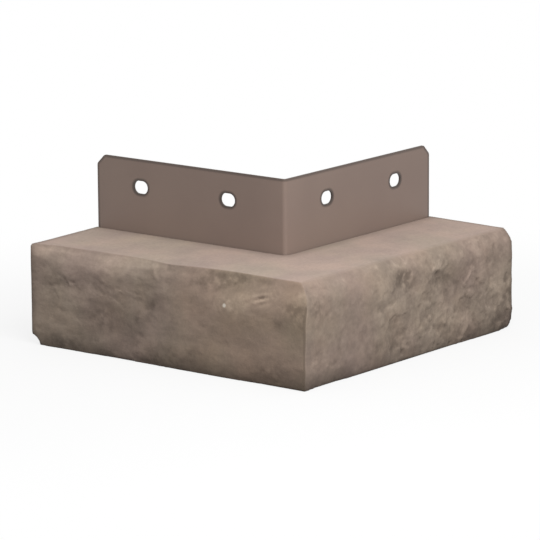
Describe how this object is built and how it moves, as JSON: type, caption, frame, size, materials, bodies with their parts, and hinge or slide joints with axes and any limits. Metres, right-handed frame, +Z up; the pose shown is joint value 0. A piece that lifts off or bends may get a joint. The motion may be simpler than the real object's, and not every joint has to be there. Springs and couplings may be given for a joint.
{
  "type": "stone veneer trim corner",
  "caption": "Outside-corner ledge trim: a cast stone L with pitched rough faces and a smooth ledge, and a bent steel nailing flange with clipped corners and short slots at its back.",
  "frame": {"origin": "the wall's outside arris, on the level of the trim's underside", "axes": "+X along the right arm, +Y along the left arm, +Z up; the wall fills x > 0, y > 0"},
  "size_m": [0.2553, 0.2553, 0.1318],
  "materials": {
    "cast_stone": "grey-brown cast stone, smooth on the ledge, pitched rough on both faces",
    "brown_paint": "satin brown paint on steel sheet"
  },
  "bodies": {
    "root": {"stone_ledge": "cast_stone", "nailing_flange": "brown_paint"}
  },
  "joints": []
}
